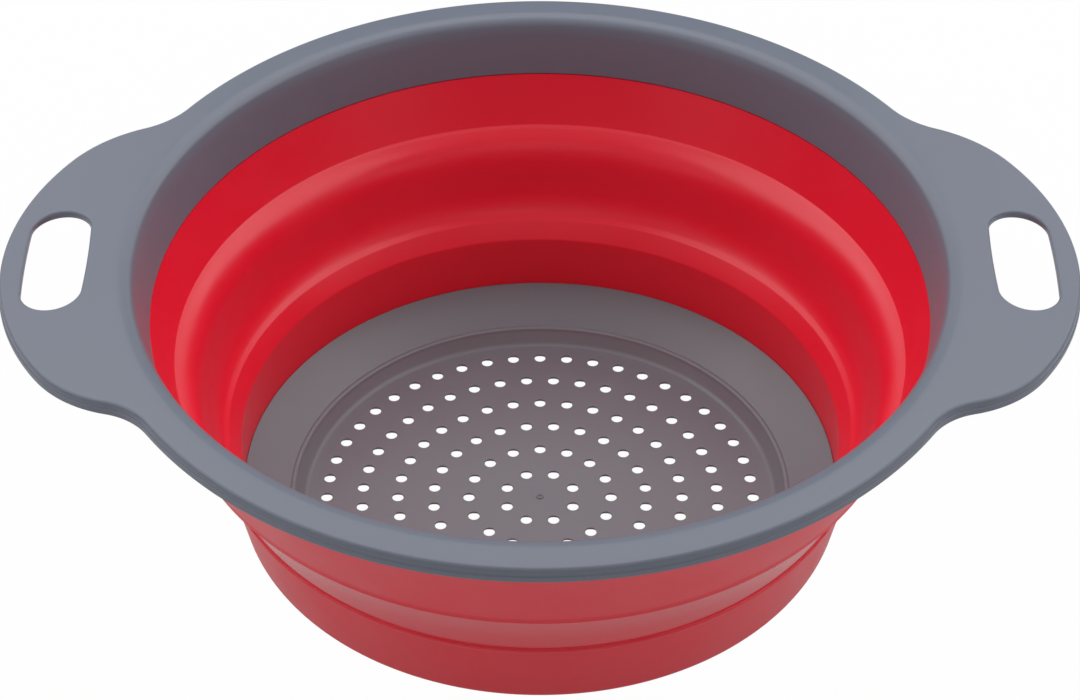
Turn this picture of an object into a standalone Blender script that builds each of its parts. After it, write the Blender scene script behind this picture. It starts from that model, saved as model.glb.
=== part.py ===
"""A collapsible colander: a hard rim frame with two slotted handles, a soft folding wall and a hard perforated base.

All sizes are in metres. +Z is up, +X runs from handle to handle, and the origin is on the table under the middle of
the foot. The colander stands open. Radii are worked out from the rim inwards and heights from the table upwards.
"""

import math

import bmesh
import bpy
import numpy as np

# Rim frame: flange, turned-down edge and the skirt that hangs from the mouth.
rim_outer_radius = 0.125
flange_width = 0.009
flange_thickness = 0.0025
# How much the flange and the handles drop for each unit outwards.
flange_drop_share = 0.09
edge_depth = 0.0044
edge_width = 0.0022
edge_round = 0.0012
mouth_round = 0.003
skirt_height = 0.0174
skirt_thickness = 0.0018

# Handles, in one piece with the flange.
handle_length = 0.0255
handle_tip_radius = 0.080
handle_tip_angle = math.radians(35.5)
handle_corner_radius = 0.0385
handle_neck_radius = 0.022
handle_rail_width = 0.007
slot_width = 0.0175
slot_length = 0.046
slot_corner_radius = 0.0068
slot_bow = 0.0008
cut_overrun = 0.006

# Soft wall. A taper share is the radius lost for each unit of height.
upper_taper_share = 0.385
upper_wall_thickness = 0.0033
hem_wall_thickness = 0.0024
upper_band_rise = 0.0149
hem_depth = 0.0091
fold_rise = 0.03
fold_run = 0.0114
crest_rise = 0.0048
crest_run = 0.0042
lower_taper_share = 0.225
lower_inner_taper_share = 0.15
lower_band_rise = 0.0187
lower_wall_thickness = 0.0012
lip_reach = 0.0032
lip_drop = 0.002
lip_undercut = 0.0015
lower_hem_depth = 0.0056
lower_hem_width = 0.0046
hem_round = 0.0028

# Hard base: sloped ring, step, shelf, foot and the perforated floor.
base_thickness = 0.0022
ring_width = 0.0141
ring_rise = 0.0075
step_run = 0.0029
step_rise = 0.0035
shelf_width = 0.0032
floor_thickness = 0.002
foot_height = 0.004
foot_width = 0.0025
foot_setback = 0.002

# Holes: rings of eight, sixteen, twenty-four and so on, a pitch apart.
hole_radius = 0.00168
hole_pitch = 0.0105
hole_edge_margin = 0.001
holes_per_ring_step = 8

# Hard and soft pieces are moulded onto each other; this keeps their faces apart.
seam_gap = 0.0003

# How finely round shapes are divided.
turn_steps = 60
hole_sides = 8
arc_steps = 3
merge_distance_share = 0.02

# Places along the inside of the fold, from its crease to its crest, as shares of the run and of the rise.
fold_inside_shares = ((0.06, 0.02), (0.17, 0.13), (0.31, 0.38), (0.44, 0.65), (0.62, 0.85), (0.82, 0.955))
# Steps round a quarter of the rim frame's outline: flange, neck, corner and tip.
outline_steps = (13, 5, 6, 4)

# Heights, from the table up.
floor_top_z = foot_height + floor_thickness
ring_inner_z = floor_top_z + step_rise
ring_outer_z = ring_inner_z + ring_rise
lower_band_top_z = ring_outer_z + lower_band_rise
crease_z = lower_band_top_z + fold_rise
skirt_bottom_z = crease_z + upper_band_rise
rim_top_z = skirt_bottom_z + skirt_height
flange_under_z = rim_top_z - flange_thickness

# Radii, from the rim in.
mouth_radius = rim_outer_radius - flange_width


def flange_drop(radius):
    """How far the flange has dropped at this radius, from the mouth outwards."""
    return flange_drop_share * max(radius - mouth_radius, 0)


def mouth_cone(z):
    """Radius of the tapered inside face that the skirt and the upper band share."""
    return mouth_radius - upper_taper_share * (rim_top_z - z)


lower_band_top_radius = mouth_cone(crease_z) - fold_run


def lower_cone(z):
    """Radius of the lower band's outside face."""
    return lower_band_top_radius - lower_taper_share * (lower_band_top_z - z)


base_ring_radius = lower_cone(ring_outer_z) - lower_wall_thickness - seam_gap
ring_inner_radius = base_ring_radius - ring_width
shelf_outer_radius = ring_inner_radius - step_run
shelf_inner_radius = shelf_outer_radius - shelf_width
floor_radius = shelf_inner_radius - seam_gap
handle_tip_x = rim_outer_radius + handle_length
slot_centre_x = handle_tip_x - handle_rail_width - slot_width / 2

# Colours as linear values, from the photograph's grey frame, red wall and warmer grey base.
FRAME_GREY = (0.20, 0.225, 0.27, 1.0)
WALL_RED = (0.52, 0.012, 0.024, 1.0)
BASE_GREY = (0.20, 0.19, 0.20, 1.0)


def clear_scene():
    """Remove whatever the file opened with."""
    for obj in list(bpy.data.objects):
        bpy.data.objects.remove(obj, do_unlink=True)


def make_collection(name):
    """A new collection in the scene."""
    collection = bpy.data.collections.new(name)
    bpy.context.scene.collection.children.link(collection)
    return collection


def make_material(name, colour, roughness):
    """A plain moulded plastic or rubber."""
    material = bpy.data.materials.new(name)
    material.use_nodes = True
    shader = next(node for node in material.node_tree.nodes if node.type == "BSDF_PRINCIPLED")
    shader.inputs["Base Color"].default_value = colour
    shader.inputs["Roughness"].default_value = roughness
    shader.inputs["Metallic"].default_value = 0.0
    material.diffuse_color = colour
    return material


def add_object(name, data, collection, material=None, parent=None):
    """An object with this data, in this collection."""
    obj = bpy.data.objects.new(name, data)
    collection.objects.link(obj)
    if material is not None:
        data.materials.append(material)
    obj.parent = parent
    return obj


def arc(centre, radius, start, end, steps):
    """Points along an arc, both ends included."""
    angles = np.linspace(start, end, steps + 1)
    return [(centre[0] + radius * math.cos(a), centre[1] + radius * math.sin(a)) for a in angles]


def turned(name, profile, collection, material, parent):
    """A closed profile of (radius, height) points, outer side first and downwards, turned about the Z axis."""
    mesh = bpy.data.meshes.new(name)
    count = len(profile)
    edges = [(i, (i + 1) % count) for i in range(count)]
    mesh.from_pydata([(r, 0, z) for r, z in profile], edges, [])
    obj = add_object(name, mesh, collection, material, parent)
    screw = obj.modifiers.new("turn", "SCREW")
    screw.axis = "Z"
    screw.angle = math.tau
    screw.steps = turn_steps
    screw.render_steps = turn_steps
    screw.use_merge_vertices = True
    screw.merge_threshold = merge_distance_share * seam_gap
    screw.use_smooth_shade = True
    return obj


def flat_curve(name, outlines, thickness):
    """A 2D curve filled between closed outlines of (x, y) points, with this thickness."""
    curve = bpy.data.curves.new(name, "CURVE")
    curve.dimensions = "2D"
    curve.fill_mode = "BOTH"
    curve.extrude = thickness / 2
    for outline in outlines:
        spline = curve.splines.new("POLY")
        spline.points.add(len(outline) - 1)
        for point, (x, y) in zip(spline.points, outline):
            point.co = (x, y, 0, 1)
        spline.use_cyclic_u = True
    return curve


def prism_cutter(name, outline, depth, location, collection):
    """A hidden upright prism over an outline that runs anticlockwise, for cutting."""
    count = len(outline)
    points = [(x, y, z) for z in (-depth / 2, depth / 2) for x, y in outline]
    sides = [(i, (i + 1) % count, count + (i + 1) % count, count + i) for i in range(count)]
    caps = [tuple(reversed(range(count))), tuple(range(count, 2 * count))]
    mesh = bpy.data.meshes.new(name)
    mesh.from_pydata(points, [], sides + caps)
    cutter = add_object(name, mesh, collection)
    cutter.location = location
    cutter.hide_render = True
    cutter.display_type = "WIRE"
    return cutter


def circle_crossing(centre_a, radius_a, centre_b, radius_b):
    """The crossing of two circles that lies to the left of the way from a to b."""
    gap = np.subtract(centre_b, centre_a)
    distance = math.hypot(*gap)
    along = (distance**2 + radius_a**2 - radius_b**2) / (2 * distance)
    aside = math.sqrt(max(radius_a**2 - along**2, 0))
    ahead = gap / distance
    left = np.array((-ahead[1], ahead[0]))
    return tuple(np.array(centre_a) + along * ahead + aside * left)


def bearing(centre, point):
    """Direction from a centre to a point."""
    return math.atan2(point[1] - centre[1], point[0] - centre[0])


def quarter_outline():
    """The frame's edge from straight behind the mouth round to the right handle's tip.

    The flange's circle runs into the handle's corner through a hollow neck, and the corner into the long tip arc.
    """
    tip_centre = (handle_tip_x - handle_tip_radius, 0)
    inset = handle_tip_radius - handle_corner_radius
    corner_centre = (
        tip_centre[0] + inset * math.cos(handle_tip_angle),
        tip_centre[1] + inset * math.sin(handle_tip_angle),
    )
    neck_centre = circle_crossing(
        (0, 0),
        rim_outer_radius + handle_neck_radius,
        corner_centre,
        handle_corner_radius + handle_neck_radius,
    )
    flange_end = bearing((0, 0), neck_centre)
    corner_start = bearing(corner_centre, neck_centre)
    steps = outline_steps
    flange = arc((0, 0), rim_outer_radius, math.pi / 2, flange_end, steps[0])
    neck = arc(neck_centre, handle_neck_radius, flange_end - math.pi, corner_start - math.pi, steps[1])
    corner = arc(corner_centre, handle_corner_radius, corner_start, handle_tip_angle, steps[2])
    tip = arc(tip_centre, handle_tip_radius, handle_tip_angle, 0, steps[3])
    return flange[:-1] + neck[:-1] + corner[:-1] + tip


def frame_outline():
    """The whole edge of the frame, from four mirrored quarters, going round once."""
    quarter = quarter_outline()
    right = quarter + [(x, -y) for x, y in quarter[-2::-1]]
    left = [(-x, y) for x, y in right[-2:0:-1]]
    return right + left


def frame_section(edge_radius):
    """The frame's section where its edge is this far from the axis, as a loop of (radius, height) points."""
    slant = math.hypot(1, upper_taper_share)
    round_centre = (mouth_radius + mouth_round * (slant - upper_taper_share), rim_top_z - mouth_round)
    mouth_start = math.pi - math.atan(upper_taper_share)
    mouth = arc(round_centre, mouth_round, mouth_start, math.pi / 2, arc_steps)
    edge = arc((edge_radius - edge_round, rim_top_z - edge_round), edge_round, math.pi / 2, 0, 2)
    top = mouth + [((mouth[-1][0] + edge[0][0]) / 2, rim_top_z)] + edge
    inner_edge_radius = edge_radius - edge_width
    edge_bottom_z = rim_top_z - flange_drop(edge_radius) - edge_depth
    skirt_top_radius = mouth_cone(flange_under_z) + skirt_thickness
    under_radii = (inner_edge_radius, (inner_edge_radius + skirt_top_radius) / 2, skirt_top_radius)
    return [
        (mouth_cone(skirt_bottom_z), skirt_bottom_z),
        *((r, z - flange_drop(r)) for r, z in top),
        (edge_radius, edge_bottom_z),
        (inner_edge_radius, edge_bottom_z),
        *((r, flange_under_z - flange_drop(r)) for r in under_radii),
        (mouth_cone(skirt_bottom_z) + skirt_thickness, skirt_bottom_z),
    ]


def slot_outline():
    """A rounded oblong with slightly bowed sides, for the right handle's slot, about its own middle."""
    half_width = slot_width / 2 - slot_bow
    half_length = slot_length / 2
    corner_x = half_width - slot_corner_radius
    corner_y = half_length - slot_corner_radius
    quarter = arc((corner_x, corner_y), slot_corner_radius, math.pi / 2, 0, arc_steps + 1)
    # The sides swell by the bow towards the slot's middle.
    bowed = [(x + slot_bow * (1 - (y / half_length) ** 2) * (x / half_width), y) for x, y in quarter]
    upper = bowed + [(half_width + slot_bow, 0)]
    right = upper + [(x, -y) for x, y in upper[-2::-1]]
    left = [(-x, y) for x, y in right[::-1]]
    return (right + left)[::-1]


def build_rim_frame(collection, cutters, material, parent):
    """Flange, skirt and both handles in one lofted body, with a slot cut through each handle."""
    rings = []
    for x, y in frame_outline():
        radius = math.hypot(x, y)
        rings.append([(x / radius * r, y / radius * r, z) for r, z in frame_section(radius)])
    count, around = len(rings[0]), len(rings)
    points = [point for ring in rings for point in ring]
    faces = []
    for i in range(around):
        ahead = (i + 1) % around
        for j in range(count):
            up = (j + 1) % count
            faces.append((i * count + j, i * count + up, ahead * count + up, ahead * count + j))
    mesh = bpy.data.meshes.new("rim_frame")
    mesh.from_pydata(points, [], faces)
    shape = bmesh.new()
    shape.from_mesh(mesh)
    bmesh.ops.recalc_face_normals(shape, faces=shape.faces)
    shape.to_mesh(mesh)
    shape.free()
    mesh.shade_smooth()
    frame = add_object("rim_frame", mesh, collection, material, parent)
    outline = slot_outline()
    slot_middle_z = rim_top_z - flange_drop(slot_centre_x)
    for side, name in ((1, "right_slot_cutter"), (-1, "left_slot_cutter")):
        location = (side * slot_centre_x, 0, slot_middle_z)
        cutter = prism_cutter(name, outline, 2 * (edge_depth + cut_overrun), location, cutters)
        cut = frame.modifiers.new(name, "BOOLEAN")
        cut.operation = "DIFFERENCE"
        cut.solver = "EXACT"
        cut.object = cutter
    return frame


def upper_band_profile():
    """The band moulded round the skirt, down to the hem where the fold begins."""
    top_z = flange_under_z - flange_drop(mouth_cone(flange_under_z) + upper_wall_thickness) - seam_gap
    skirt_face = skirt_thickness + seam_gap
    hem_z = crease_z - hem_depth
    return [
        (mouth_cone(top_z) + upper_wall_thickness, top_z),
        (mouth_cone(hem_z) + hem_wall_thickness, hem_z),
        (mouth_cone(crease_z), crease_z),
        (mouth_cone(skirt_bottom_z), skirt_bottom_z - seam_gap),
        (mouth_cone(skirt_bottom_z) + skirt_face, skirt_bottom_z - seam_gap),
        (mouth_cone(top_z) + skirt_face, top_z),
    ]


def fold_wall_profile():
    """The soft cone between the bands. It turns inside out when the rim is pushed down."""
    hem_z = crease_z - hem_depth
    inside_top = (mouth_cone(crease_z) - seam_gap, crease_z)
    crest = (lower_band_top_radius - crest_run, lower_band_top_z + crest_rise)
    inside = [
        (
            inside_top[0] + across * (crest[0] - inside_top[0]),
            inside_top[1] + down * (crest[1] - inside_top[1]),
        )
        for across, down in fold_inside_shares
    ]
    inside_foot = (lip_tip()[0] + lip_drop / 2, lower_band_top_z + 2 * seam_gap)
    return [
        (mouth_cone(hem_z) + hem_wall_thickness - seam_gap, hem_z - seam_gap),
        (lower_band_top_radius, lower_band_top_z + seam_gap),
        inside_foot,
        crest,
        *reversed(inside),
        inside_top,
    ]


def lip_tip():
    """The sharp inner edge of the lip at the top of the lower band."""
    inner_radius = base_ring_radius + seam_gap + lower_inner_taper_share * (lower_band_top_z - ring_outer_z)
    return (inner_radius - lip_reach, lower_band_top_z - lip_drop)


def lower_band_profile():
    """The band moulded round the base ring, with an inner lip at its top and a rounded hem under the ring."""
    tip = lip_tip()
    inner_foot = base_ring_radius + seam_gap
    under_lip_z = tip[1] - lip_undercut
    under_lip_radius = inner_foot + lower_inner_taper_share * (under_lip_z - ring_outer_z)
    hem_z = ring_outer_z - lower_hem_depth
    hem_outer_radius = lower_cone(hem_z + hem_round)
    hem_inner_radius = hem_outer_radius - lower_hem_width
    round_centre = (hem_outer_radius - hem_round, hem_z + hem_round)
    slope = ring_rise / ring_width
    ring_depth = base_thickness * math.hypot(1, slope)

    def under_ring(radius):
        return ring_outer_z - (base_ring_radius - radius) * slope - ring_depth - seam_gap

    return [
        (lower_band_top_radius, lower_band_top_z),
        (lower_cone(ring_outer_z), ring_outer_z),
        *arc(round_centre, hem_round, 0, -math.pi / 2, arc_steps),
        (hem_inner_radius, hem_z),
        (hem_inner_radius, under_ring(hem_inner_radius)),
        (inner_foot, under_ring(inner_foot)),
        (inner_foot, ring_outer_z),
        (under_lip_radius, under_lip_z),
        tip,
        (tip[0] + lip_drop / 2, lower_band_top_z),
    ]


def base_ring_profile():
    """Sloped ring, step down to the shelf round the floor, and the foot under it."""
    slope = ring_rise / ring_width
    ring_depth = base_thickness * math.hypot(1, slope)
    foot_outer_radius = ring_inner_radius + foot_setback
    foot_inner_radius = foot_outer_radius - foot_width
    return [
        (base_ring_radius, ring_outer_z),
        (base_ring_radius, ring_outer_z - ring_depth),
        (foot_outer_radius, ring_outer_z - (base_ring_radius - foot_outer_radius) * slope - ring_depth),
        (foot_outer_radius, 0),
        (foot_inner_radius, 0),
        (foot_inner_radius, foot_height),
        (shelf_inner_radius, foot_height),
        (shelf_inner_radius, floor_top_z),
        (shelf_outer_radius, floor_top_z),
        (ring_inner_radius - step_run / 4, ring_inner_z - step_rise / 4),
        (ring_inner_radius, ring_inner_z),
    ]


def floor_outlines():
    """The floor's edge and its holes: ring k has 8k holes, and every other ring is turned by half a step."""
    rings = int((floor_radius - hole_edge_margin - hole_radius) / hole_pitch)
    outlines = [arc((0, 0), floor_radius, 0, math.tau, turn_steps)[:-1]]
    for ring in range(1, rings + 1):
        holes = holes_per_ring_step * ring
        step = math.tau / holes
        turn = step / 2 if ring % 2 else 0
        for index in range(holes):
            angle = turn + index * step
            centre = (ring * hole_pitch * math.cos(angle), ring * hole_pitch * math.sin(angle))
            outlines.append(arc(centre, hole_radius, angle, angle + math.tau, hole_sides)[:-1])
    return outlines


def build_floor(collection, material, parent):
    """The perforated floor, a flat disc."""
    curve = flat_curve("strainer_floor", floor_outlines(), floor_thickness)
    floor = add_object("strainer_floor", curve, collection, material, parent)
    floor.location = (0, 0, floor_top_z - floor_thickness / 2)
    return floor


def add_carrier(name, collection):
    """An empty on the axis that everything is turned about, along which the rim slides."""
    carrier = add_object(name, None, collection)
    carrier.empty_display_size = rim_outer_radius / 2
    return carrier


def main():
    """Build the colander, standing open."""
    clear_scene()
    parts = make_collection("collapsible_colander")
    cutters = make_collection("cutters")
    grey = make_material("frame_polypropylene", FRAME_GREY, 0.45)
    red = make_material("wall_rubber", WALL_RED, 0.4)
    warm_grey = make_material("base_polypropylene", BASE_GREY, 0.45)
    rim = add_carrier("rim_carrier", parts)
    base = add_carrier("base_carrier", parts)
    build_rim_frame(parts, cutters, grey, rim)
    turned("upper_band", upper_band_profile(), parts, red, rim)
    turned("fold_wall", fold_wall_profile(), parts, red, base)
    turned("lower_band", lower_band_profile(), parts, red, base)
    turned("base_ring", base_ring_profile(), parts, warm_grey, base)
    build_floor(parts, warm_grey, base)


main()
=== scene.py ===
"""The looks of a collapsible colander: a grey rim frame, a red folding wall and a grey base.

All sizes are in metres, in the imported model's frame: +Z up, +X from handle to handle, and the
table at height 0.
"""

from __future__ import annotations

import logging
import math
from collections.abc import Callable, Sequence
from dataclasses import dataclass, field
from enum import Enum
from functools import partial

import bmesh
import bpy
import numpy as np
from bpy.types import ID, Material, Mesh, Node, NodeTree, Object, World
from mathutils.geometry import delaunay_2d_cdt
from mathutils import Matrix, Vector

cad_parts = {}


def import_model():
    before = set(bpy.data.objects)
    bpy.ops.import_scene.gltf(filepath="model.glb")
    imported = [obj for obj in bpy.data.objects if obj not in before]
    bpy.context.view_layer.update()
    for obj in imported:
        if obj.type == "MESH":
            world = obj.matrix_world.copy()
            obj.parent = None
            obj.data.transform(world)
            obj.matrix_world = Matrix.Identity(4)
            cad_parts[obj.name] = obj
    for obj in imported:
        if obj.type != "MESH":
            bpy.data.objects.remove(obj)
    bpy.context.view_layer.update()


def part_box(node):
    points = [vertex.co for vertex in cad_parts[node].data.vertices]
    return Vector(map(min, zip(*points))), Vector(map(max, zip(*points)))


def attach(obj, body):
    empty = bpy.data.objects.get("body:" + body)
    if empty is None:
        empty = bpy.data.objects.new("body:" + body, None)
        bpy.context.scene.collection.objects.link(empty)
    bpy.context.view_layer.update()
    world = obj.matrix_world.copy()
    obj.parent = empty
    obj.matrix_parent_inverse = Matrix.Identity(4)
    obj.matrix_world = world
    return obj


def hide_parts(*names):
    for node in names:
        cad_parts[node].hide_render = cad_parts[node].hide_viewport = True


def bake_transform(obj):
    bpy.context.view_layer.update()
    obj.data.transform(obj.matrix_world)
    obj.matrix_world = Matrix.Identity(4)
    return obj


LOG = logging.getLogger("colander")

# Points of a mesh closer than this are one point, and so are plan points closer than SAME_SPOT.
WELD = 2e-6
SAME_SPOT = 1e-9
# Edges that turn further than this stay sharp.
SHARP_TURN = math.radians(40)
# A fillet's arc takes at most this share of its corner's shorter side.
ARC_SHARE = 0.49
# Lattice points stay this share of their spacing away from a region's borders.
CLEAR_SHARE = 0.6
# So many rows are compared at once, which keeps the arrays small.
CHUNK = 1000
# The wall's attribute that tells how far a point belongs to its polished web.
WEB_SHARE = "web_share"
# A noise pattern stays mostly between these values.
NOISE_LOW, NOISE_HIGH = 0.3, 0.7
# Where a Mix node has its two colours and the mixed one.
MIX_A, MIX_B, MIX_RESULT = 6, 7, 2
WHITE = (1.0, 1.0, 1.0, 1.0)

Triple = tuple[float, float, float]
Section = Sequence[Triple]
Socket = str | int
Link = tuple[Node, Socket]


class Slot(Enum):
    """Names of the material slots."""

    FRAME = "frame_plastic"
    WALL = "wall_rubber"
    BASE = "base_plastic"


def linear(code: str) -> tuple[float, float, float, float]:
    """Turn an sRGB hex code into a linear colour with full alpha.

    A channel c goes to c / 12.92 up to 0.04045, and to ((c + 0.055) / 1.055) ** 2.4 above it.

    Args:
        code: Six hex digits after a hash.

    Returns:
        Linear red, green, blue and alpha.
    """
    parts = [int(code[i : i + 2], 16) / 255 for i in (1, 3, 5)]
    values = [c / 12.92 if c <= 0.04045 else ((c + 0.055) / 1.055) ** 2.4 for c in parts]
    return (values[0], values[1], values[2], 1.0)


def placed(anchor: tuple[float, float], rows: Section) -> list[Triple]:
    """Put corners that are given from an anchor where they belong.

    Args:
        anchor: The anchor's radius and height.
        rows: Corners as (out, up, fillet) from the anchor.

    Returns:
        The corners as (radius, height, fillet).
    """
    return [(anchor[0] + out, anchor[1] + up, fillet) for out, up, fillet in rows]


def filleted(
    corners: Section, turn_per_step: float = math.radians(9), closed: bool = False
) -> np.ndarray:
    """Round each corner of a section with an arc that touches both of its sides.

    The arc's centre lies on the corner's bisector, at radius / sin(half angle), and its tangent
    points lie at radius / tan(half angle) from the corner, at most just under half of the shorter
    side.

    Args:
        corners: Radius from the axis, height and fillet radius of each corner, in order.
        turn_per_step: Largest turn between two points of an arc, in radians.
        closed: Whether the last corner joins the first.

    Returns:
        Points of the rounded section, one (radius, height) row each.
    """
    points: list[np.ndarray] = []
    count = len(corners)
    for i, (r, z, radius) in enumerate(corners):
        corner = np.array((r, z))
        if radius <= 0 or (not closed and i in (0, count - 1)):
            points.append(corner)
            continue
        before = np.array(corners[i - 1][:2]) - corner
        after = np.array(corners[(i + 1) % count][:2]) - corner
        room = ARC_SHARE * min(np.hypot(*before), np.hypot(*after))
        before, after = before / np.hypot(*before), after / np.hypot(*after)
        half = math.acos(float(np.clip(before @ after, -1, 1))) / 2
        reach = min(radius / math.tan(half), room)
        radius = reach * math.tan(half)
        bisector = (before + after) / np.hypot(*(before + after))
        centre = corner + bisector * radius / math.sin(half)
        first, last = corner + before * reach - centre, corner + after * reach - centre
        turn = math.pi - 2 * half
        steps = max(2, math.ceil(turn / turn_per_step))
        share = np.linspace(0, 1, steps + 1)[:, None]
        blend = np.sin((1 - share) * turn) * first + np.sin(share * turn) * last
        points.extend(centre + blend / math.sin(turn))
    return np.array(points)


def smoothed(knots: np.ndarray, steps: int) -> np.ndarray:
    """Carry a smooth curve through knots.

    Between two knots it is the cubic that has, at each knot, the slope of the parabola through the
    knot and its neighbours, taken over the distance along the knots.

    Args:
        knots: (radius, height) rows.
        steps: Points per stretch.

    Returns:
        The curve's points, both ends included.
    """
    reach = np.hypot(*np.diff(knots, axis=0).T)
    slopes = np.gradient(knots, np.concatenate(((0,), np.cumsum(reach))), axis=0)
    t = np.linspace(0, 1, steps, endpoint=False)[None, :, None]
    a, b, h = knots[:-1, None], knots[1:, None], reach[:, None, None]
    held = (2 * t**3 - 3 * t**2 + 1) * a + (3 * t**2 - 2 * t**3) * b
    bent = (t**3 - 2 * t**2 + t) * h * slopes[:-1, None] + (t**3 - t**2) * h * slopes[1:, None]
    return np.vstack(((held + bent).reshape(-1, 2), knots[-1:]))


def arc(
    centre: tuple[float, float] | np.ndarray, radius: float, start: float, end: float, step: float
) -> np.ndarray:
    """Points of a circle's arc, both ends included, about a step apart.

    Args:
        centre: The circle's centre in plan.
        radius: Its radius.
        start: First direction, in radians.
        end: Last direction, in radians.
        step: Wanted distance between points.

    Returns:
        The points, one (x, y) row each.
    """
    count = max(2, math.ceil(abs(end - start) * radius / step)) + 1
    angles = np.linspace(start, end, count)
    x, y = centre[0] + radius * np.cos(angles), centre[1] + radius * np.sin(angles)
    return np.column_stack((x, y))


def spun(section: np.ndarray, columns: int) -> np.ndarray:
    """Turn a section about the Z axis.

    A point at radius r and height z goes to (r cos a, r sin a, z) for each angle a.

    Args:
        section: (radius, height) rows.
        columns: Number of angles in a full turn.

    Returns:
        A (columns, rows, 3) grid.
    """
    angles = np.linspace(0, math.tau, columns, endpoint=False)[:, None]
    r, z = section[:, 0][None], section[:, 1][None]
    return np.stack((r * np.cos(angles), r * np.sin(angles), z + 0 * angles), axis=-1)


def inside(points: np.ndarray, loop: np.ndarray) -> np.ndarray:
    """Tell which plan points lie in a closed loop, by counting the sides that a ray to +X crosses.

    Args:
        points: (x, y) rows to test.
        loop: (x, y) rows of the loop.

    Returns:
        One true or false for each point.
    """
    x, y = points[:, 0][:, None], points[:, 1][:, None]
    ax, ay = loop[:, 0][None], loop[:, 1][None]
    bx, by = np.roll(ax, -1, axis=1), np.roll(ay, -1, axis=1)
    spans = (ay > y) != (by > y)
    rise = np.where(by == ay, 1, by - ay)
    crossing = ax + (y - ay) / rise * (bx - ax)
    return ((spans & (x < crossing)).sum(axis=1) % 2).astype(bool)


def offset(loop: np.ndarray, distance: float) -> np.ndarray:
    """Move a closed anticlockwise loop along its normals, the side directions turned right.

    Args:
        loop: (x, y) rows.
        distance: How far outwards, negative for inwards.

    Returns:
        The moved loop.
    """
    along = np.roll(loop, -1, axis=0) - np.roll(loop, 1, axis=0)
    along /= np.hypot(along[:, 0], along[:, 1])[:, None]
    return loop + distance * np.column_stack((along[:, 1], -along[:, 0]))


def level(plan: np.ndarray, z: float) -> np.ndarray:
    """Give every plan point the same height."""
    return np.full(len(plan), z)


def chunks(count: int) -> list[np.ndarray]:
    """Split the numbers of so many rows into parts of about CHUNK rows."""
    return np.array_split(np.arange(count), max(1, count // CHUNK))


def close_up(mesh: Mesh) -> None:
    """Weld a mesh's double points, turn its faces outwards and smooth all but its sharp edges.

    Args:
        mesh: The mesh, changed in place.
    """
    shape = bmesh.new()
    shape.from_mesh(mesh)
    bmesh.ops.remove_doubles(shape, verts=shape.verts, dist=WELD)
    bmesh.ops.dissolve_degenerate(shape, edges=shape.edges, dist=WELD / 4)
    bmesh.ops.recalc_face_normals(shape, faces=shape.faces)
    if shape.calc_volume(signed=True) < 0:
        bmesh.ops.reverse_faces(shape, faces=shape.faces)
    shape.to_mesh(mesh)
    shape.free()
    mesh.shade_smooth()
    mesh.set_sharp_from_angle(angle=SHARP_TURN)


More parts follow.
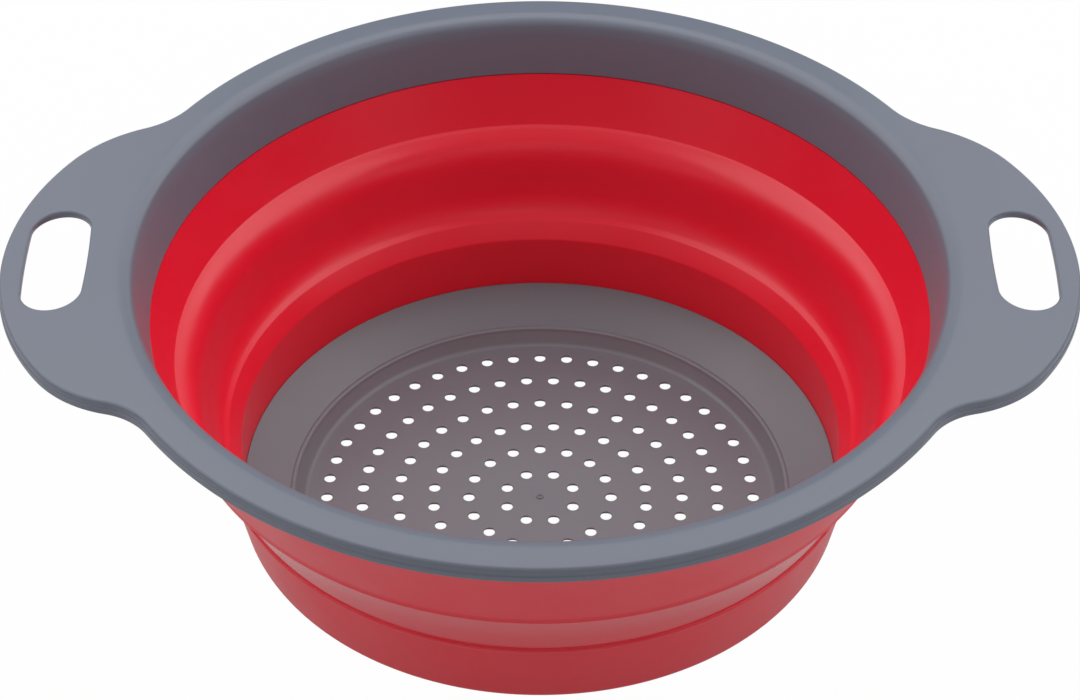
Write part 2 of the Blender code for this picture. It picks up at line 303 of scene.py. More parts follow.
@dataclass
class Skin:
    """A surface put together from patches that share their borders."""

    points: list[np.ndarray] = field(default_factory=list)
    faces: list[tuple[int, ...]] = field(default_factory=list)
    total: int = 0

    def add(self, points: np.ndarray, faces: np.ndarray) -> None:
        """Add a patch.

        Args:
            points: (x, y, z) rows.
            faces: Rows of indices into these points.
        """
        self.points.append(points.reshape(-1, 3))
        self.faces.extend(map(tuple, (faces + self.total).tolist()))
        self.total += len(self.points[-1])

    def add_grid(
        self, grid: np.ndarray, closed_rows: bool = True, closed_columns: bool = False
    ) -> None:
        """Add quads over a grid.

        Args:
            grid: A (rows, columns, 3) array.
            closed_rows: Whether the last row joins the first.
            closed_columns: Whether the last column joins the first.
        """
        rows, columns = grid.shape[:2]
        index = np.arange(rows * columns).reshape(rows, columns)
        if closed_rows:
            index = np.vstack((index, index[:1]))
        if closed_columns:
            index = np.hstack((index, index[:, :1]))
        corners = (index[:-1, :-1], index[1:, :-1], index[1:, 1:], index[:-1, 1:])
        self.add(grid, np.stack(corners, axis=-1).reshape(-1, 4))

    def add_plan(
        self,
        loops: Sequence[np.ndarray],
        spacing: float,
        keep: Callable[[np.ndarray], np.ndarray],
        height: Callable[[np.ndarray], np.ndarray],
    ) -> None:
        """Fill a region of the plan with triangles and lift it to a height.

        The points are the loops and, between them, a lattice of equal triangles, whose rows are
        sqrt(0.75) of its spacing apart. Triangles whose middle isn't in the region are left out.

        Args:
            loops: Closed (x, y) loops that bound the region.
            spacing: Distance between the lattice's points.
            keep: Tells which plan points are in the region.
            height: Gives the height of plan points.
        """
        border = np.vstack(loops)
        sides = []
        start = 0
        for loop in loops:
            own = np.arange(len(loop)) + start
            sides.extend(zip(own.tolist(), np.roll(own, -1).tolist()))
            start += len(loop)
        low, high = border.min(axis=0), border.max(axis=0)
        across = np.arange(low[0], high[0], spacing)
        x, y = np.meshgrid(across, np.arange(low[1], high[1], spacing * math.sqrt(0.75)))
        x = x + spacing / 2 * (np.arange(x.shape[0]) % 2)[:, None]
        lattice = np.column_stack((x.ravel(), y.ravel()))
        lattice = lattice[keep(lattice)]
        far = np.ones(len(lattice), bool)
        for part in chunks(len(lattice)):
            apart = lattice[part][:, None] - border[None]
            far[part] = (apart**2).sum(axis=-1).min(axis=1) > (CLEAR_SHARE * spacing) ** 2
        plan = np.vstack((border, lattice[far]))
        made = delaunay_2d_cdt(plan.tolist(), sides, [], 0, SAME_SPOT, False)
        spots = np.array([tuple(p) for p in made[0]])
        triangles = np.array(made[2])
        middle = spots[triangles].mean(axis=1)
        kept = np.zeros(len(triangles), bool)
        for part in chunks(len(triangles)):
            kept[part] = keep(middle[part])
        self.add(np.column_stack((spots, height(spots))), triangles[kept])

    def mesh(self, name: str) -> Mesh:
        """Join the patches into one mesh.

        Args:
            name: The mesh's name.

        Returns:
            The mesh, closed up.
        """
        mesh = bpy.data.meshes.new(name)
        mesh.from_pydata(np.vstack(self.points).tolist(), [], self.faces)
        close_up(mesh)
        return mesh


def add_object(name: str, data: ID) -> Object:
    """Make an object of its data and put it in the scene.

    Args:
        name: The object's name.
        data: Its mesh, lamp or camera.

    Returns:
        The object, at the origin.
    """
    made = bpy.data.objects.new(name, data)
    bpy.context.scene.collection.objects.link(made)
    return made


def new_piece(name: str, mesh: Mesh, material: Material, slot: Slot) -> Object:
    """Make an object of a mesh and give it its material.

    Args:
        name: The piece's name.
        mesh: Its mesh, in the model's frame.
        material: Its material.
        slot: Not used.

    Returns:
        The object.
    """
    piece = add_object(name, mesh)
    mesh.materials.clear()
    mesh.materials.append(material)
    return piece


def report(piece: Object) -> None:
    """Log a finished piece: its name, its number of faces, and its open edges, which should be 0.

    Args:
        piece: The piece.
    """
    sides = np.zeros(len(piece.data.loops), np.int32)
    piece.data.loops.foreach_get("edge_index", sides)
    open_edges = int((np.bincount(sides) != 2).sum())
    LOG.info("%s: %d faces, %d open edges", piece.name, len(piece.data.polygons), open_edges)


def empty_tree(owner: Material | World) -> NodeTree:
    """Switch nodes on and take out the ones that are there by default.

    Args:
        owner: A material or the world.

    Returns:
        Its node tree.
    """
    owner.use_nodes = True
    owner.node_tree.nodes.clear()
    return owner.node_tree


def add_node(
    tree: NodeTree, kind: str, settings: dict[Socket, object], links: dict[Socket, Link]
) -> Node:
    """Add a shader node with its settings and links.

    Args:
        tree: The tree that it goes into.
        kind: The node's type name.
        settings: Values by the name or number of a socket, or by the name of a property.
        links: For a socket's name or number, the node and output that feed it.

    Returns:
        The node.
    """
    node = tree.nodes.new(kind)
    for name, value in settings.items():
        if isinstance(name, str) and hasattr(node, name):
            setattr(node, name, value)
        else:
            node.inputs[name].default_value = value
    for name, (source, output) in links.items():
        tree.links.new(source.outputs[output], node.inputs[name])
    return node


@dataclass(frozen=True)
class Moulded:
    """A moulded plastic or rubber: an even colour, faint clouding and the fine grain of its mould.

    Its patterns read the object's own metres. A web_roughness is reached where a point's attribute
    says that it belongs to the wall's polished web.
    """

    name: str
    colour: str
    cloud_colour: str
    roughness: float
    cloud_size: float
    grain_height: float
    grain_size: float = 0.0006
    roughness_spread: float = 0.04
    ior: float = 1.49
    specular: float = 0.5
    web_roughness: float | None = None

    def material(self) -> Material:
        """Build the material.

        Returns:
            The new material.
        """
        made = bpy.data.materials.new(self.name)
        tree = empty_tree(made)
        place = add_node(tree, "ShaderNodeTexCoord", {}, {})
        clouds, grain = (
            add_node(
                tree,
                "ShaderNodeTexNoise",
                {"Scale": 1 / size, "Detail": detail, "Roughness": fineness},
                {"Vector": (place, "Object")},
            )
            for size, detail, fineness in (
                (self.cloud_size, 3.0, 0.55),
                (self.grain_size, 2.0, 0.6),
            )
        )
        colour = add_node(
            tree,
            "ShaderNodeMix",
            {"data_type": "RGBA", MIX_A: linear(self.colour), MIX_B: linear(self.cloud_colour)},
            {"Factor": (clouds, "Fac")},
        )
        rough = add_node(
            tree,
            "ShaderNodeMapRange",
            {
                "From Min": NOISE_LOW,
                "From Max": NOISE_HIGH,
                "To Min": self.roughness - self.roughness_spread,
                "To Max": self.roughness + self.roughness_spread,
            },
            {"Value": (clouds, "Fac")},
        )
        if self.web_roughness is not None:
            web = add_node(tree, "ShaderNodeAttribute", {"attribute_name": WEB_SHARE}, {})
            rough = add_node(
                tree,
                "ShaderNodeMapRange",
                {"To Max": self.web_roughness},
                {"Value": (web, "Fac"), "To Min": (rough, "Result")},
            )
        bump = add_node(
            tree,
            "ShaderNodeBump",
            {"Strength": 1.0, "Distance": self.grain_height},
            {"Height": (grain, "Fac")},
        )
        shader = add_node(
            tree,
            "ShaderNodeBsdfPrincipled",
            {"IOR": self.ior, "Specular IOR Level": self.specular},
            {
                "Base Color": (colour, MIX_RESULT),
                "Roughness": (rough, "Result"),
                "Normal": (bump, "Normal"),
            },
        )
        add_node(tree, "ShaderNodeOutputMaterial", {}, {"Surface": (shader, "BSDF")})
        return made


# Polypropylene from a fine spark-eroded mould: a cool grey with a satin surface, so that its
# rounded edges catch a soft line of light.
FRAME_FINISH = Moulded(
    name="grey_polypropylene_frame",
    colour="#6e7482",
    cloud_colour="#727886",
    roughness=0.34,
    cloud_size=0.03,
    grain_height=0.00001,
)

# Thermoplastic rubber from a polished mould: deep red and satin, with pale broad highlights where
# it is seen along its surface. The web between its two bands is glossier.
WALL_FINISH = Moulded(
    name="red_thermoplastic_rubber",
    colour="#f01833",
    cloud_colour="#f31b36",
    roughness=0.34,
    cloud_size=0.02,
    grain_height=0.000012,
    grain_size=0.0008,
    ior=1.5,
    specular=0.55,
    web_roughness=0.14,
)

# The base is the frame's plastic from another mould, a little paler and warmer, with a shallower
# grain and softer highlights.
BASE_FINISH = Moulded(
    name="grey_polypropylene_base",
    colour="#757a81",
    cloud_colour="#797e85",
    roughness=0.38,
    cloud_size=0.02,
    grain_height=0.000008,
)


@dataclass
class RimFrame:
    """The grey frame: a flange round the mouth, a skirt in it and a slotted handle each side."""

    outer_radius: float
    tip_x: float
    skirt_bottom: float
    top: float = 0.098
    flange_width: float = 0.012
    thickness: float = 0.0025
    # The flange drops at a steady slope over this much of its width.
    drop_width: float = 0.007
    drop_share: float = 0.09
    # The outer edge: a rib that hangs down, whose lower part stands out by a fine ledge.
    edge_depth: float = 0.0044
    edge_width: float = 0.0022
    edge_round: float = 0.0012
    lower_edge_round: float = 0.0008
    inner_round: float = 0.0004
    edge_ledge: float = 0.0003
    # The lip's corners as (out, up, fillet) from the point where the skirt's taper meets the top.
    lip: Section = (
        (0.0038, 0.0, 0.003),
        (0.0018, -0.0004, 0.004),
        (0.0004, -0.0013, 0.0026),
        (-0.0008, -0.0040, 0.016),
    )
    lip_reach: float = 0.0042
    taper_share: float = 0.2126
    skirt_thickness: float = 0.0018
    # The handle's outline: its long tip arc, its corner arc and the hollow neck arc.
    tip_radius: float = 0.080
    tip_angle: float = math.radians(35.5)
    corner_radius: float = 0.0385
    neck_radius: float = 0.022
    rail_width: float = 0.007
    slot_width: float = 0.0175
    slot_length: float = 0.0428
    slot_corner: float = 0.0078
    slot_bow: float = 0.0008
    slot_round: float = 0.0010
    slot_steps: int = 20
    # The flat margin of each profile, and the distances of points along edges and in the plan.
    border: float = 0.0007
    step: float = 0.0012
    spacing: float = 0.0018
    columns: int = 360

    def height(self, plan: np.ndarray, depth: float = 0.0) -> np.ndarray:
        """Height over plan points of the flange's top, or of a face at a depth below it."""
        return self.top - self.drop(np.hypot(plan[:, 0], plan[:, 1])) - depth

    def drop(self, radius: np.ndarray) -> np.ndarray:
        """How far the flange lies below its top at distances from the axis."""
        return self.drop_share * np.maximum(radius - self.outer_radius + self.drop_width, 0)

    @property
    def mouth_radius(self) -> float:
        """Radius where the skirt's taper would meet the top."""
        return self.outer_radius - self.flange_width

    def cone(self, z: float) -> float:
        """Radius of the skirt's inside face at a height."""
        return self.mouth_radius - self.taper_share * (self.top - z)

    def outline(self) -> np.ndarray:
        """The frame's outer edge in plan, anticlockwise.

        The flange's circle, a hollow neck arc, the handle's corner arc and its long tip arc touch
        each other. One quarter is worked out and mirrored.

        Returns:
            The closed loop.
        """
        tip_turn = np.array((math.cos(self.tip_angle), math.sin(self.tip_angle)))
        tip_centre = np.array((self.tip_x - self.tip_radius, 0))
        corner_centre = tip_centre + (self.tip_radius - self.corner_radius) * tip_turn
        far = self.outer_radius + self.neck_radius
        near = self.corner_radius + self.neck_radius
        apart = math.hypot(*corner_centre)
        along = (apart**2 + far**2 - near**2) / (2 * apart)
        ahead = corner_centre / apart
        left = np.array((-ahead[1], ahead[0]))
        neck_centre = along * ahead + math.sqrt(far**2 - along**2) * left
        to_neck = neck_centre - corner_centre
        corner_end = math.atan2(to_neck[1], to_neck[0])
        neck_end = math.atan2(neck_centre[1], neck_centre[0])
        arcs = [
            arc(centre, radius, start, end, self.step)
            for centre, radius, start, end in (
                (tip_centre, self.tip_radius, 0, self.tip_angle),
                (corner_centre, self.corner_radius, self.tip_angle, corner_end),
                (neck_centre, self.neck_radius, corner_end - math.pi, neck_end - math.pi),
                ((0, 0), self.outer_radius, neck_end, math.pi / 2),
            )
        ]
        quarter = np.vstack((*(part[:-1] for part in arcs[:-1]), arcs[-1]))
        upper = np.vstack((quarter, quarter[-2:0:-1] * (-1, 1), [(-self.tip_x, 0)]))
        return np.vstack((upper, upper[-2:0:-1] * (1, -1)))

    def slot_outline(self, side: int) -> np.ndarray:
        """A handle's slot in plan, anticlockwise: a rounded oblong whose long sides bow out.

        Args:
            side: 1 for the right handle, -1 for the left one.

        Returns:
            The closed loop.
        """
        half_width, half_length = self.slot_width / 2 - self.slot_bow, self.slot_length / 2
        centre = (half_width - self.slot_corner, half_length - self.slot_corner)
        corner = arc(centre, self.slot_corner, 0, math.pi / 2, self.step / 2)
        straight = np.linspace(0, centre[1], self.slot_steps)[:-1]
        quarter = np.vstack((np.column_stack((level(straight, half_width), straight)), corner))
        bow = self.slot_bow * (1 - (quarter[:, 1] / half_length) ** 2)
        quarter[:, 0] += bow * quarter[:, 0] / half_width
        upper = np.vstack((quarter, quarter[::-1] * (-1, 1)))
        loop = np.vstack((upper, upper[-2:0:-1] * (1, -1)))
        return loop + (side * (self.tip_x - self.rail_width - self.slot_width / 2), 0)

    def edge_profile(self) -> np.ndarray:
        """Profile of the outer edge, from the top side round the rib to the under side.

        Returns:
            (offset, depth) rows.
        """
        ledge, rib = self.edge_ledge, self.edge_width
        corners = [
            (-rib - self.border, 0, 0),
            (-ledge, 0, self.edge_round),
            (-ledge, self.thickness - ledge, ledge / 2),
            (0, self.thickness - ledge / 3, ledge / 2),
            (0, self.edge_depth, self.lower_edge_round),
            (-rib, self.edge_depth, self.inner_round),
            (-rib, self.thickness, self.inner_round),
            (-rib - self.border, self.thickness, 0),
        ]
        return filleted(corners)

    def slot_profile(self) -> np.ndarray:
        """Profile of a slot's edge, rounded above and below.

        Returns:
            (offset, depth) rows.
        """
        margin = self.slot_round + self.border
        corners = [
            (margin, 0, 0),
            (0, 0, self.slot_round),
            (0, self.thickness, self.slot_round),
            (margin, self.thickness, 0),
        ]
        return filleted(corners)

    def skirt_section(self) -> np.ndarray:
        """Section of the lip and the skirt, from the flange's top side to its under side.

        Returns:
            (radius, height) rows, before the flange's drop.
        """
        bottom, under = self.skirt_bottom, self.top - self.thickness
        hip = self.cone(under) + self.skirt_thickness
        corners = [
            (self.mouth_radius + self.lip_reach + self.border, self.top, 0),
            *placed((self.mouth_radius, self.top), self.lip),
            (self.cone(bottom), bottom, self.inner_round),
            (self.cone(bottom) + self.skirt_thickness, bottom, self.inner_round),
            (hip, under, self.inner_round),
            (hip + self.border, under, 0),
        ]
        return filleted(corners)

    def edge_grid(self, loop: np.ndarray, profile: np.ndarray) -> np.ndarray:
        """Carry an edge's profile along a loop.

        Each profile point is an offset across the loop and a depth below the flange's top there.

        Args:
            loop: The closed loop.
            profile: (offset, depth) rows.

        Returns:
            A (loop points, profile points, 3) grid.
        """
        rows = []
        for across, depth in profile:
            plan = offset(loop, across)
            rows.append(np.column_stack((plan, self.height(plan, depth))))
        return np.stack(rows, axis=1)

    def covers(
        self, plan: np.ndarray, edge: np.ndarray, mouth: float, slots: Sequence[np.ndarray]
    ) -> np.ndarray:
        """Tell which plan points lie on the flat part of the flange or of a handle.

        Args:
            plan: (x, y) rows.
            edge: The loop that bounds it outside.
            mouth: The radius that bounds it inside.
            slots: The loops round the slots.

        Returns:
            One true or false for each point.
        """
        kept = inside(plan, edge) & (np.hypot(plan[:, 0], plan[:, 1]) > mouth)
        for slot in slots:
            kept &= ~inside(plan, slot)
        return kept

    def build(self, material: Material) -> Object:
        """Build the frame from its edges and its top and under sides.

        Args:
            material: Its plastic.

        Returns:
            The dressed frame.
        """
        skin = Skin()
        outline = self.outline()
        slots = [self.slot_outline(side) for side in (1, -1)]
        skin.add_grid(self.edge_grid(outline, self.edge_profile()))
        for slot in slots:
            skin.add_grid(self.edge_grid(slot, self.slot_profile()))
        section = self.skirt_section()
        ring = spun(section, self.columns)
        ring[..., 2] -= self.drop(section[:, 0])
        skin.add_grid(ring)
        edge = offset(outline, -self.edge_width - self.border)
        slot_edges = [offset(slot, self.slot_round + self.border) for slot in slots]
        for circle, depth in ((ring[:, 0, :2], 0.0), (ring[:, -1, :2], self.thickness)):
            mouth = float(np.hypot(*circle[0]))
            skin.add_plan(
                [edge, circle, *slot_edges],
                self.spacing,
                partial(self.covers, edge=edge, mouth=mouth, slots=slot_edges),
                partial(self.height, depth=depth),
            )
        return new_piece("rim_frame_dressed", skin.mesh("rim_frame_skin"), material, Slot.FRAME)


@dataclass
class SoftWall:
    """The red wall, one soft moulding: upper band, fold and lower band.

    When the rim goes down, the fold turns inside out: every point moves down by a share of the
    rim's travel that grows with its distance from the axis.
    """

    skirt_top: float
    skirt_bottom: float
    crease: float
    shoulder: float
    ring_top: float
    hem_bottom: float
    top_outer: float
    skirt_radius: float
    skirt_taper: float
    base_radius: float
    low: float
    hem: float
    taper_share: float = 0.385
    skirt_thickness: float = 0.0018
    hem_thickness: float = 0.0024
    # How far the lower hem hangs below the solids'.
    hem_drop: float = 0.0011
    # Corners as (out, up, fillet): of the upper band's bead from its hem's edge, of the lower
    # band's bead and of its throat under the crest from its shoulder, of the lower hem from the
    # spot straight under the shoulder, and of the seat on the base from the ring's edge.
    hem_bead: Section = (
        (0.000693, 0.0018, 0.001),
        (0.00045, 0.0007, 0.0004),
        (0.000315, -0.0003, 0.0004),
    )
    shoulder_bead: Section = (
        (0.00045, 0.0, 0.0003),
        (0.000315, -0.0009, 0.0004),
        (-0.0004, -0.0018, 0.001),
    )
    throat: Section = ((-0.0057, -0.0018, 0.0014),)
    lower_hem: Section = ((-0.0048, 0.0028, 0.0028), (-0.0079, 0.0, 0.002))
    ring_seat: Section = ((-0.004, -0.0050, 0.0003), (0.0, -0.0026, 0.0002))
    seat_depth: float = 0.004
    seat_round: float = 0.0006
    # The web is a little hollow, from under the upper band's hem to just above the shoulder.
    web_hollow: float = 0.0005
    web_round: float = 0.060
    web_end_round: float = 0.0007
    web_top_out: float = 0.0011
    web_top_drop: float = 0.0010
    web_bottom_rise: float = 0.0004
    # The web's polish ends at this distance from it, fades over the last part and goes past its
    # ends by a share of its height.
    web_reach: float = 0.0012
    web_fade: float = 0.0003
    web_margin: float = 0.01
    # The fold's two ends: the crease, and the crest in and up from the shoulder.
    crease_round: float = 0.0005
    crest_round: float = 0.0013
    crest_inset: float = 0.0025
    crest_rise: float = 0.0035
    # The fold's S, as shares of the way inwards and down from the crease to the crest.
    fold_shares: tuple[tuple[float, float], ...] = (
        (0.000, 0.000), (0.051, 0.009), (0.139, 0.037), (0.248, 0.083), (0.336, 0.135),
        (0.409, 0.196), (0.489, 0.295), (0.544, 0.405), (0.584, 0.513), (0.624, 0.621),
        (0.679, 0.731), (0.745, 0.821), (0.825, 0.900), (0.912, 0.961), (1.000, 1.000),
    )
    fold_steps: int = 4
    # The bend between base and rim ends this far inside the crease.
    bend_inset: float = 0.0004
    # The gap that keeps the wall's faces off the skirt's and the ring's.
    seam: float = 0.00005
    columns: int = 360

    def cone(self, z: float) -> float:
        """Radius at a height of the line that the upper band's inside face follows."""
        return self.skirt_radius - self.taper_share * (self.skirt_bottom - z)

    @property
    def web_ends(self) -> tuple[np.ndarray, np.ndarray]:
        """Upper and lower end of the web, the thin outside of the fold.

        Returns:
            Both as (radius, height).
        """
        upper = (self.cone(self.hem) + self.web_top_out, self.hem - self.web_top_drop)
        lower = (self.low, self.shoulder + self.web_bottom_rise)
        return np.array(upper), np.array(lower)

    def fold(self, crease: np.ndarray, crest: np.ndarray) -> np.ndarray:
        """The fold's inside face, an S from the crease to the crest, without its rounded ends.

        Args:
            crease: Upper end, as (radius, height).
            crest: Lower end.

        Returns:
            (radius, height) rows.
        """
        curve = smoothed(crease + np.array(self.fold_shares) * (crest - crease), self.fold_steps)
        from_crease = np.hypot(*(curve - crease).T)
        from_crest = np.hypot(*(curve - crest).T)
        return curve[(from_crease > 2 * self.crease_round) & (from_crest > self.crest_round)]

    def section(self) -> np.ndarray:
        """The wall's section: down its outside, in under the hem, and up its inside.

        Returns:
            (radius, height) rows.
        """
        hem_edge = (self.cone(self.hem) + self.hem_thickness, self.hem)
        shoulder = (self.low, self.shoulder)
        bottom = self.hem_bottom - self.hem_drop
        web_top, web_bottom = self.web_ends
        web_middle = (web_top + web_bottom) / 2 - (self.web_hollow, 0)
        crease = np.array((self.cone(self.crease), self.crease))
        crest = np.array((self.low - self.crest_inset, self.shoulder + self.crest_rise))
        fold = self.fold(crease, crest)
        skirt_seat = self.skirt_bottom - self.seam
        skirt_reach = self.skirt_taper * (self.skirt_top - self.skirt_bottom)
        skirt_outside = self.skirt_thickness + self.seam
        corners = [
            (self.top_outer, self.skirt_top, 0),
            *placed(hem_edge, self.hem_bead),
            (*web_top, self.web_end_round),
            (*web_middle, self.web_round),
            (*web_bottom, self.web_end_round),
            *placed(shoulder, self.shoulder_bead),
            *placed((self.low, bottom), self.lower_hem),
            (self.base_radius - self.seat_depth, bottom, self.seat_round),
            *placed((self.base_radius, self.ring_top), self.ring_seat),
            (self.base_radius + self.seam, self.ring_top, 0),
            *placed(shoulder, self.throat),
            (*crest, self.crest_round),
            *((r, z, 0) for r, z in fold[::-1].tolist()),
            (*crease, self.crease_round),
            (self.skirt_radius, skirt_seat, 0),
            (self.skirt_radius + skirt_outside, skirt_seat, 0),
            (self.skirt_radius + skirt_reach + skirt_outside, self.skirt_top, 0),
        ]
        return filleted(corners, closed=True)

    def web_share(self, section: np.ndarray) -> np.ndarray:
        """Tell how far each point of the section belongs to the polished web.

        The share is 1 near the line between the web's ends and falls to 0 at web_reach from it.

        Args:
            section: (radius, height) rows.

        Returns:
            A share for each row.
        """
        upper, lower = self.web_ends
        height = (section[:, 1] - lower[1]) / (upper[1] - lower[1])
        apart = np.abs(section[:, 0] - (lower[0] + height * (upper[0] - lower[0])))
        between = (height > -self.web_margin) & (height < 1 + self.web_margin)
        return between * np.clip((self.web_reach - apart) / self.web_fade, 0, 1)

    def build(self, material: Material) -> Object:
        """Build the wall from narrow strips of its turned section.

        The fold bends by its distance from the axis. The turned wall is built as narrow strips,
        which are then welded into one piece.

        Args:
            material: The rubber.

        Returns:
            The wall.
        """
        section = self.section()
        web = np.tile(self.web_share(section), 2).astype(np.float32)
        grid = spun(section, self.columns)
        low, high = self.low, self.cone(self.crease) - self.bend_inset
        strips = []
        for column in range(self.columns):
            skin = Skin()
            pair = np.stack((grid[column], grid[(column + 1) % self.columns]))
            skin.add_grid(pair, closed_rows=False, closed_columns=True)
            name = f"wall_strip_{column:03d}"
            mesh = bpy.data.meshes.new(name)
            mesh.from_pydata(skin.points[0].tolist(), [], skin.faces)
            mesh.attributes.new(WEB_SHARE, "FLOAT", "POINT").data.foreach_set("value", web)
            strip = new_piece(name, mesh, material, Slot.WALL)
            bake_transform(strip)
            strips.append(strip)
        wall = strips[0]
        with bpy.context.temp_override(active_object=wall, selected_editable_objects=strips):
            bpy.ops.object.join()
        wall.name = "soft_wall"
        wall.data.name = "soft_wall_skin"
        close_up(wall.data)
        return wall


@dataclass
class StrainerBase:
    """The grey base, one hard moulding: sloped ring, step, perforated floor and foot."""

    floor_top: float
    floor_bottom: float
    ring_top: float
    ring_radius: float
    # The ring slopes inwards down to a step, with a fine bead along its inner edge, whose corners
    # are (out, up, fillet) from that edge.
    ring_width: float = 0.0141
    ring_drop: float = 0.0075
    ring_slope: float = 0.532
    ring_thickness: float = 0.0025
    ring_round: float = 0.0002
    ring_under_round: float = 0.0003
    ring_bead: Section = (
        (-0.0006, -0.0002, 0.0003),
        (-0.0002, 0.0006, 0.0004),
        (0.0007, 0.0008, 0.0004),
        (0.0012, 0.0006, 0.0004),
    )
    step_width: float = 0.0030
    step_round: float = 0.0020
    # The foot's outer face stands this far outside the ring's inner edge.
    foot_out: float = 0.0020
    foot_width: float = 0.0025
    foot_round: float = 0.0006
    foot_fillet: float = 0.0008
    # Ring k has k times ring_step holes. A hole is straight for a land, then flares downwards.
    hole_radius: float = 0.00168
    hole_pitch: float = 0.0105
    hole_round: float = 0.0002
    hole_margin: float = 0.00048
    hole_land: float = 0.0004
    hole_flare: float = 0.0014
    flare_margin: float = 0.0004
    hole_turn: float = math.radians(22)
    rings: int = 6
    ring_step: int = 8
    hole_sides: int = 28
    # A rim's chords lie inside its circle, so points this close to it already count as outside.
    rim_share: float = 0.99
    # The moulding's gate mark in the middle, as (radius, height, fillet).
    gate_mark: Section = (
        (0.0, 0.0001, 0.0),
        (0.00035, 0.0001, 0.0001),
        (0.00055, 0.00045, 0.0002),
        (0.00095, 0.0004, 0.0002),
        (0.0011, 0.0, 0.0002),
        (0.0018, 0.0, 0.0),
    )
    disc_radius: float = 0.0665
    spacing: float = 0.003
    columns: int = 360

    def hole_centres(self) -> np.ndarray:
        """Centres of the holes, in rings of which every other one is turned by half a step.

        Returns:
            (x, y) rows.
        """
        centres = []
        for ring in range(1, self.rings + 1):
            count = self.ring_step * ring
            angles = (np.arange(count) + (0.5 if ring % 2 else 0)) * math.tau / count
            directions = np.column_stack((np.cos(angles), np.sin(angles)))
            centres.append(ring * self.hole_pitch * directions)
        return np.vstack(centres)

    def ring_section(self) -> np.ndarray:
        """Section of everything round the perforated disc, from its top edge out and back under it.

        Returns:
            (radius, height) rows.
        """
        radius, top = self.ring_radius, self.ring_top
        inner, low = radius - self.ring_width, top - self.ring_drop
        foot = inner + self.foot_out
        foot_top = low - self.ring_thickness + self.foot_out * self.ring_slope
        foot_inside = foot - self.foot_width
        corners = [
            (self.disc_radius, self.floor_top, 0),
            (inner - self.step_width, self.floor_top, self.step_round),
            *placed((inner, low), self.ring_bead),
            (radius, top, self.ring_round),
            (radius, top - self.ring_thickness, self.ring_under_round),
            (foot, foot_top, self.foot_fillet),
            (foot, 0, self.foot_round),
            (foot_inside, 0, self.foot_round),
            (foot_inside, self.floor_bottom, self.foot_round),
            (self.disc_radius, self.floor_bottom, 0),
        ]
        return filleted(corners)

    def hole_section(self) -> np.ndarray:
        """Section of a hole's wall from its rim down, with the floor's top at height 0.

        Returns:
            (radius, height) rows.
        """
        depth, flare = self.floor_top - self.floor_bottom, self.hole_radius + self.hole_flare
        corners = [
            (self.hole_radius + self.hole_margin, 0, 0),
            (self.hole_radius, 0, self.hole_round),
            (self.hole_radius, -self.hole_land, 0),
            (flare, -depth, self.hole_round),
            (flare + self.flare_margin, -depth, 0),
        ]
        return filleted(corners, turn_per_step=self.hole_turn)

    def on_disc(self, plan: np.ndarray, centres: np.ndarray, rim: float, hub: float) -> np.ndarray:
        """Tell which plan points lie on the disc, outside its middle and every hole.

        Args:
            plan: (x, y) rows.
            centres: The holes' centres.
            rim: Radius of a hole with its rounded rim.
            hub: Radius of the middle that is left out.

        Returns:
            One true or false for each point.
        """
        out = np.hypot(plan[:, 0], plan[:, 1])
        apart = np.hypot(*(plan[:, None] - centres[None]).transpose(2, 0, 1)).min(axis=1)
        return (out < self.disc_radius) & (apart > rim * self.rim_share) & (out >= hub)

    def build(self, material: Material) -> Object:
        """Build the base with every hole and the small gate mark in the middle.

        Args:
            material: Its plastic.

        Returns:
            The dressed base.
        """
        skin = Skin()
        ring = spun(self.ring_section(), self.columns)
        skin.add_grid(ring)
        wall = self.hole_section()
        tube = spun(wall, self.hole_sides) + (0, 0, self.floor_top)
        centres = self.hole_centres()
        for centre in centres:
            skin.add_grid(tube + (*centre, 0))
        gate = filleted(self.gate_mark)
        mark = spun(gate, self.hole_sides) + (0, 0, self.floor_top)
        skin.add_grid(mark)
        rims, flares = ([tube[:, i, :2] + centre for centre in centres] for i in (0, -1))
        sides = (
            ([ring[:, 0, :2], mark[:, -1, :2], *rims], wall[0, 0], gate[-1, 0], self.floor_top),
            ([ring[:, -1, :2], *flares], wall[-1, 0], 0.0, self.floor_bottom),
        )
        for loops, rim, hub, z in sides:
            skin.add_plan(
                loops,
                self.spacing,
                partial(self.on_disc, centres=centres, rim=rim, hub=hub),
                partial(level, z=z),
            )
        return new_piece("strainer_base", skin.mesh("strainer_base_skin"), material, Slot.BASE)


@dataclass(frozen=True)
class Lamp:
    """A soft box that faces a point of the colander."""

    name: str
    place: Triple
    size: tuple[float, float]
    power: float

    def add(self, target: Triple) -> None:
        """Put the lamp in the scene.

        Args:
            target: The point that it faces.
        """
        data = bpy.data.lights.new(self.name, "AREA")
        data.shape = "RECTANGLE"
        data.size, data.size_y = self.size
        data.energy = self.power
        lamp = add_object(self.name, data)
        lamp.location = self.place
        x, y, z = np.subtract(self.place, target)
        lamp.rotation_euler = (math.atan2(math.hypot(x, y), z), 0, math.atan2(y, x) + math.pi / 2)


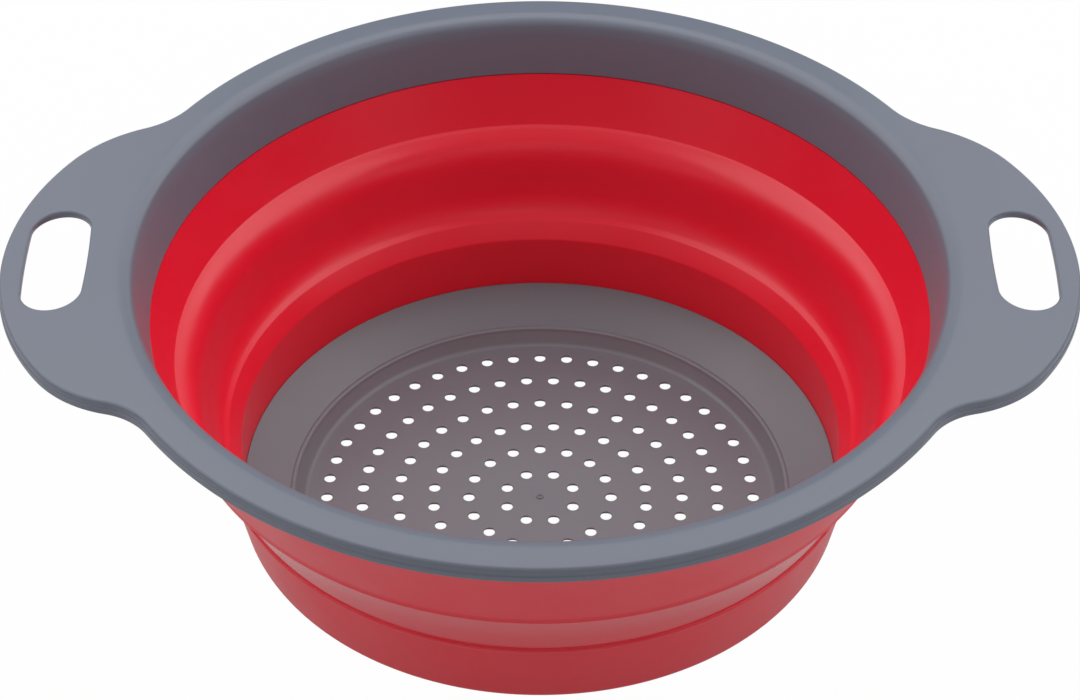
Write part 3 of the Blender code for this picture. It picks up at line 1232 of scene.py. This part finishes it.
LAMPS = (
    Lamp("over", (0.0, 0.35, 1.35), (0.9, 0.6), 1.4),
    Lamp("over_front", (0.0, -0.4, 1.35), (0.9, 0.8), 0.6),
    Lamp("back_high", (0.0, 0.8, 1.2), (1.2, 0.7), 4.3),
    Lamp("left_corner", (-0.7, 1.05, 0.6), (0.8, 0.6), 1.5),
    Lamp("right_corner", (0.7, 1.05, 0.6), (0.8, 0.6), 1.5),
    Lamp("left_high", (-1.0, 0.2, 1.0), (1.6, 1.1), 9.9),
    Lamp("right_high", (1.0, 0.2, 1.0), (1.6, 1.1), 9.9),
    Lamp("left_low", (-1.0, -0.9, 0.4), (0.7, 0.5), 0.7),
    Lamp("right_low", (1.0, -0.9, 0.4), (0.7, 0.5), 0.7),
    Lamp("front_high", (0.0, -1.35, 0.95), (1.4, 0.6), 1.4),
)


@dataclass(frozen=True)
class Studio:
    """A white table, soft boxes and a camera at the photograph's angle."""

    lens: float = 113.59
    sensor: float = 36.0
    clip_end: float = 20.0
    tilt: float = math.radians(40.606)
    place: Triple = (0.0, -0.7364, 0.6945)
    lamp_target: Triple = (0.0, 0.0, 0.05)
    # Strength of the room's light, and shares of white that the camera and a gloss see.
    sky: float = 0.15
    white: float = 0.985
    gloss_white: float = 0.30
    paper: str = "#d4d4d4"
    table_half: float = 4.0
    table_gap: float = 0.0001

    def camera(self) -> None:
        """Add the camera, level along +Y and tilted down."""
        data = bpy.data.cameras.new("camera")
        data.lens = self.lens
        data.sensor_width = self.sensor
        data.clip_end = self.clip_end
        camera = add_object("camera", data)
        camera.location = self.place
        camera.rotation_euler = (math.pi / 2 - self.tilt, 0, 0)
        bpy.context.scene.camera = camera

    def floor(self) -> None:
        """Add the white table.

        The camera sees it close to white with a faint shadow, and a gloss sees part of that white:
        its white share is white * max(camera ray, gloss_white * max(glossy ray, through ray)).
        """
        half = self.table_half
        corners = [(-half, -half, 0), (half, -half, 0), (half, half, 0), (-half, half, 0)]
        mesh = bpy.data.meshes.new("table")
        mesh.from_pydata(corners, [], [(0, 1, 2, 3)])
        table = add_object("table", mesh)
        made = bpy.data.materials.new("white_table")
        tree = empty_tree(made)
        path = add_node(tree, "ShaderNodeLightPath", {}, {})
        share = (path, "Is Glossy Ray")
        for operation, number, link in (
            ("MAXIMUM", {}, {1: (path, "Is Transmission Ray")}),
            ("MULTIPLY", {1: self.gloss_white}, {}),
            ("MAXIMUM", {}, {1: (path, "Is Camera Ray")}),
            ("MULTIPLY", {1: self.white}, {}),
        ):
            settings = {"operation": operation, **number}
            share = (add_node(tree, "ShaderNodeMath", settings, {0: share, **link}), "Value")
        paper = add_node(tree, "ShaderNodeBsdfDiffuse", {"Color": linear(self.paper)}, {})
        glow = add_node(tree, "ShaderNodeEmission", {"Color": WHITE, "Strength": 1.0}, {})
        mix = add_node(
            tree,
            "ShaderNodeMixShader",
            {},
            {"Fac": share, 1: (paper, "BSDF"), 2: (glow, "Emission")},
        )
        add_node(tree, "ShaderNodeOutputMaterial", {}, {"Surface": (mix, "Shader")})
        mesh.materials.append(made)
        table.location = (0, 0, -self.table_gap)

    def world(self) -> None:
        """Add the even light of a white room, and a white background behind the table."""
        world = bpy.data.worlds.new("studio")
        bpy.context.scene.world = world
        tree = empty_tree(world)
        path = add_node(tree, "ShaderNodeLightPath", {}, {})
        room = add_node(tree, "ShaderNodeBackground", {"Color": WHITE, "Strength": self.sky}, {})
        white = add_node(tree, "ShaderNodeBackground", {"Color": WHITE, "Strength": 1.0}, {})
        mix = add_node(
            tree,
            "ShaderNodeMixShader",
            {},
            {"Fac": (path, "Is Camera Ray"), 1: (room, "Background"), 2: (white, "Background")},
        )
        add_node(tree, "ShaderNodeOutputWorld", {}, {"Surface": (mix, "Shader")})

    def build(self) -> None:
        """Add the whole studio. Both sides are lit alike."""
        self.camera()
        self.floor()
        self.world()
        for lamp in LAMPS:
            lamp.add(self.lamp_target)


def main() -> None:
    """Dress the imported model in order, from the rim to the base."""
    logging.basicConfig(level=logging.INFO, format="%(message)s")
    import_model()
    bpy.context.scene.view_settings.view_transform = "Standard"
    Studio().build()

    frame_low, frame_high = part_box("rim_frame")
    band_low, band_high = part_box("upper_band")
    _, fold_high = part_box("fold_wall")
    lower_low, lower_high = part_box("lower_band")
    _, ring_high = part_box("base_ring")
    floor_low, floor_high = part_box("strainer_floor")

    frame = RimFrame(outer_radius=frame_high.y, tip_x=frame_high.x, skirt_bottom=frame_low.z)
    rim = frame.build(FRAME_FINISH.material())
    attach(rim, "rim")
    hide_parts("rim_frame")
    report(rim)

    wall = SoftWall(
        skirt_top=band_high.z,
        skirt_bottom=frame_low.z,
        crease=fold_high.z,
        shoulder=lower_high.z,
        ring_top=ring_high.z,
        hem_bottom=lower_low.z,
        top_outer=band_high.x,
        skirt_radius=frame.cone(frame.skirt_bottom),
        skirt_taper=frame.taper_share,
        base_radius=ring_high.x,
        low=lower_high.x,
        hem=band_low.z,
    )
    soft = wall.build(WALL_FINISH.material())
    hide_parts("upper_band", "fold_wall", "lower_band")
    report(soft)

    base = StrainerBase(
        floor_top=floor_high.z,
        floor_bottom=floor_low.z,
        ring_top=ring_high.z,
        ring_radius=ring_high.x,
    )
    strainer = base.build(BASE_FINISH.material())
    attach(strainer, "base")
    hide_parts("base_ring", "strainer_floor")
    report(strainer)


if __name__ == "__main__":
    main()
